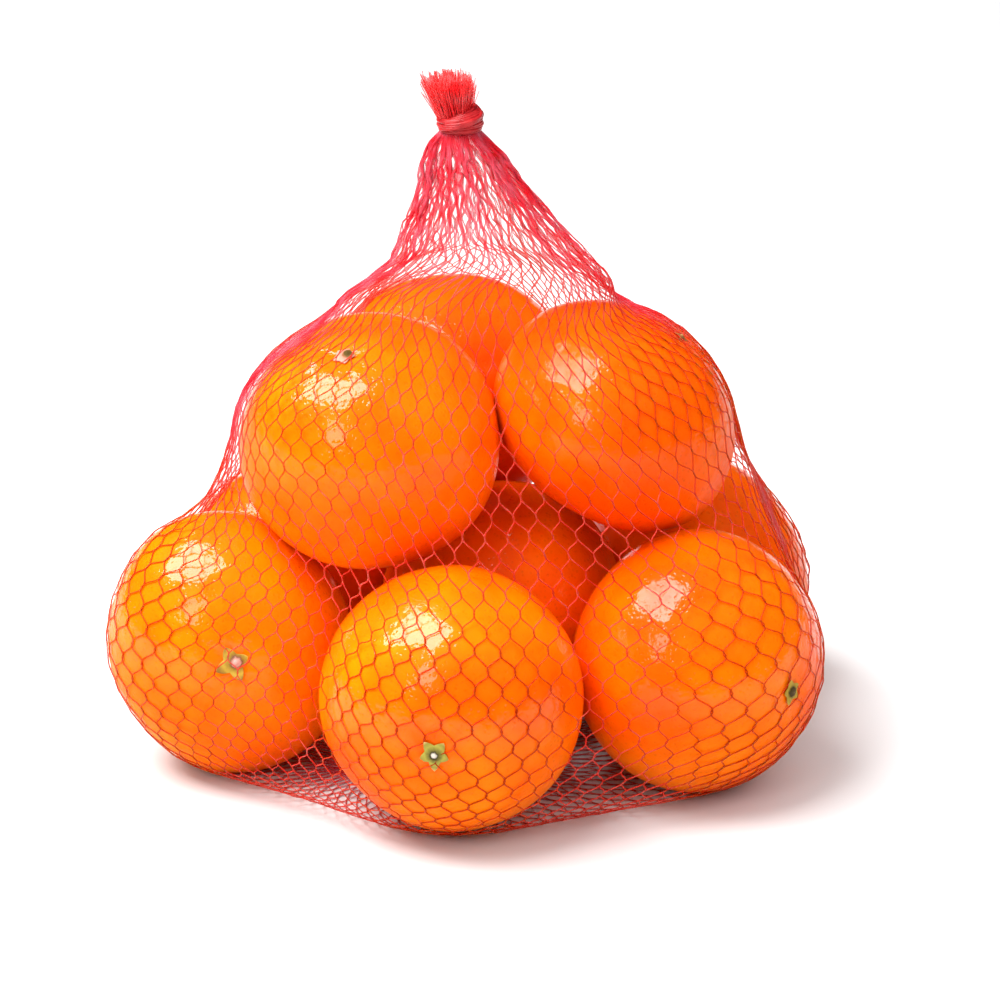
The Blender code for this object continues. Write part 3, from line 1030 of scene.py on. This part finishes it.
def cutTuft(material):
    threads, widths = [], []
    taper = tuft["thread"] * np.linspace(*tuft["taper"], tuft["points"])
    for number in range(tuft["threads"] + tuft["strays"]):
        isStray = number >= tuft["threads"]
        spin = random.uniform(0.0, math.tau)
        out = 1.0 if isStray else math.sqrt(random.uniform(0.0, 1.0))
        tall = tuft["height"] * random.uniform(tuft["shortest"], 1.0) * (1.0 - tuft["rounded"] * out * out)
        tall *= tuft["strayHeight"] if isStray else 1.0
        flare = tuft["flare"] * (tuft["strayFlare"] if isStray else random.uniform(*tuft["flares"]))
        drift = random.normal(0.0, tuft["drift"], 2)
        wave = random.normal(0.0, tuft["wave"], 2)
        run = []
        for step in range(tuft["points"]):
            share = step / (tuft["points"] - 1)
            radius = out * between((tuft["foot"], flare), share ** tuft["flareLate"])
            aside = (drift + wave * math.sin(share * tuft["waves"] + spin * 3.0)) * share
            run.append((
                radius * math.cos(spin) + tuft["from"] + tuft["lean"] * share + aside[0],
                radius * math.sin(spin) * tuft["flat"] + aside[1],
                tuft["begins"] + share * (tall + tuft["inKnot"]),
                1.0,
            ))
        threads.append(np.array(run) + (*net["neck"], 0.0))
        widths.append(taper * (tuft["strayThread"] if isStray else 1.0))
    mesh = threadsToMesh("tuft_threads", threads, widths)
    addPiece("tuft_threads", mesh, material, ["tuft"])


tieKnot(woundMaterial())
# the cut ends are painted brighter reds than the net: a painted glow over the shade at the tuft's crowded
# base
cutTuft(netMaterial("cutPolyethyleneEnds", [
    (0.35, "#FF2026"), (0.5, "#FF3A3C"), (0.65, "#FF5C5E"),
]))
print("knot tied and tuft cut")


studio = {
    "floor": "#D8D8D8",
    "floorSize": 6000.0,
    "horizon": 0.18,
    "zenith": 1.22,
    "risesFrom": 0.1,
    "risesTo": 0.8,
    "middle": (0.0, 0.0, 0.06),
    "away": 1.0,
}


def layFloor():
    bm = bmesh.new()
    bmesh.ops.create_grid(bm, x_segments=1, y_segments=1, size=studio["floorSize"])
    floor = bpy.data.objects.new("floor", bmeshToMesh(bm, "floor"))
    bpy.context.scene.collection.objects.link(floor)
    paper = newMaterial("studioPaper", {"Roughness": 0.7, "Base Color": hexColour(studio["floor"])})[0]
    floor.data.materials.append(paper)


softboxes = {
    "overheadSoftbox": dict(toward=(-0.46, -0.08, 0.885), power=22.0, size=(0.88, 0.60), roll=30.0,
                            glints=True),
    "fillSoftbox": dict(toward=(0.62, -0.50, 0.60), power=1.1, size=(0.7, 0.7), roll=0.0, glints=False),
    "sideSoftbox": dict(toward=(-0.46, -0.73, 0.51), power=1.7, size=(0.30, 0.34), roll=0.0, glints=True),
}


def addLight(name, box):
    light = bpy.data.lights.new(name, "AREA")
    light.shape = "RECTANGLE"
    light.size, light.size_y = box["size"]
    light.energy = box["power"]
    lamp = bpy.data.objects.new(name, light)
    toward = Vector(box["toward"]).normalized()
    lamp.location = Vector(studio["middle"]) + toward * studio["away"]
    roll = Matrix.Rotation(math.radians(box["roll"]), 3, "Z")
    lamp.rotation_euler = (toward.to_track_quat("Z", "Y").to_matrix() @ roll).to_euler()
    lamp.visible_glossy = box["glints"]
    bpy.context.scene.collection.objects.link(lamp)


def setStudio():
    scene = bpy.context.scene
    world = bpy.data.worlds.new("studio")
    world.use_nodes = True
    scene.world = world
    tree = world.node_tree
    background = tree.nodes["Background"]
    up = addNode(tree, "ShaderNodeTexCoord").outputs["Generated"]
    height = addNode(tree, "ShaderNodeSeparateXYZ", links={0: up}).outputs["Z"]
    glow = addNode(tree, "ShaderNodeMapRange", {
        "interpolation_type": "SMOOTHSTEP",
        "From Min": studio["risesFrom"], "From Max": studio["risesTo"],
        "To Min": studio["horizon"], "To Max": studio["zenith"],
    }, {"Value": height}).outputs["Result"]
    plug(tree, background, {"Strength": glow})
    background.inputs["Color"].default_value = (1.0, 1.0, 1.0, 1.0)
    world.cycles_visibility.glossy = False  # only the softboxes and the floor show in the gloss of the peel
    for name, box in softboxes.items():
        addLight(name, box)
    scene.view_settings.view_transform = "Standard"
    scene.view_settings.look = "None"


view = {"lens": 135.0, "sensor": 36.0, "target": (8.0, -18.0, 70.0), "tilt": 21.0, "away": 0.9}


def setCamera():
    camera = bpy.data.objects.new("camera", bpy.data.cameras.new("camera"))
    camera.data.lens = view["lens"]
    camera.data.sensor_width = view["sensor"]
    tilt = math.radians(view["tilt"])
    back = Vector((0.0, -math.cos(tilt), math.sin(tilt)))
    camera.location = Vector(view["target"]) * mm + back * view["away"]
    camera.rotation_euler = back.to_track_quat("Z", "Y").to_euler()
    bpy.context.scene.collection.objects.link(camera)
    bpy.context.scene.camera = camera


layFloor()
setStudio()
setCamera()
print("studio set")
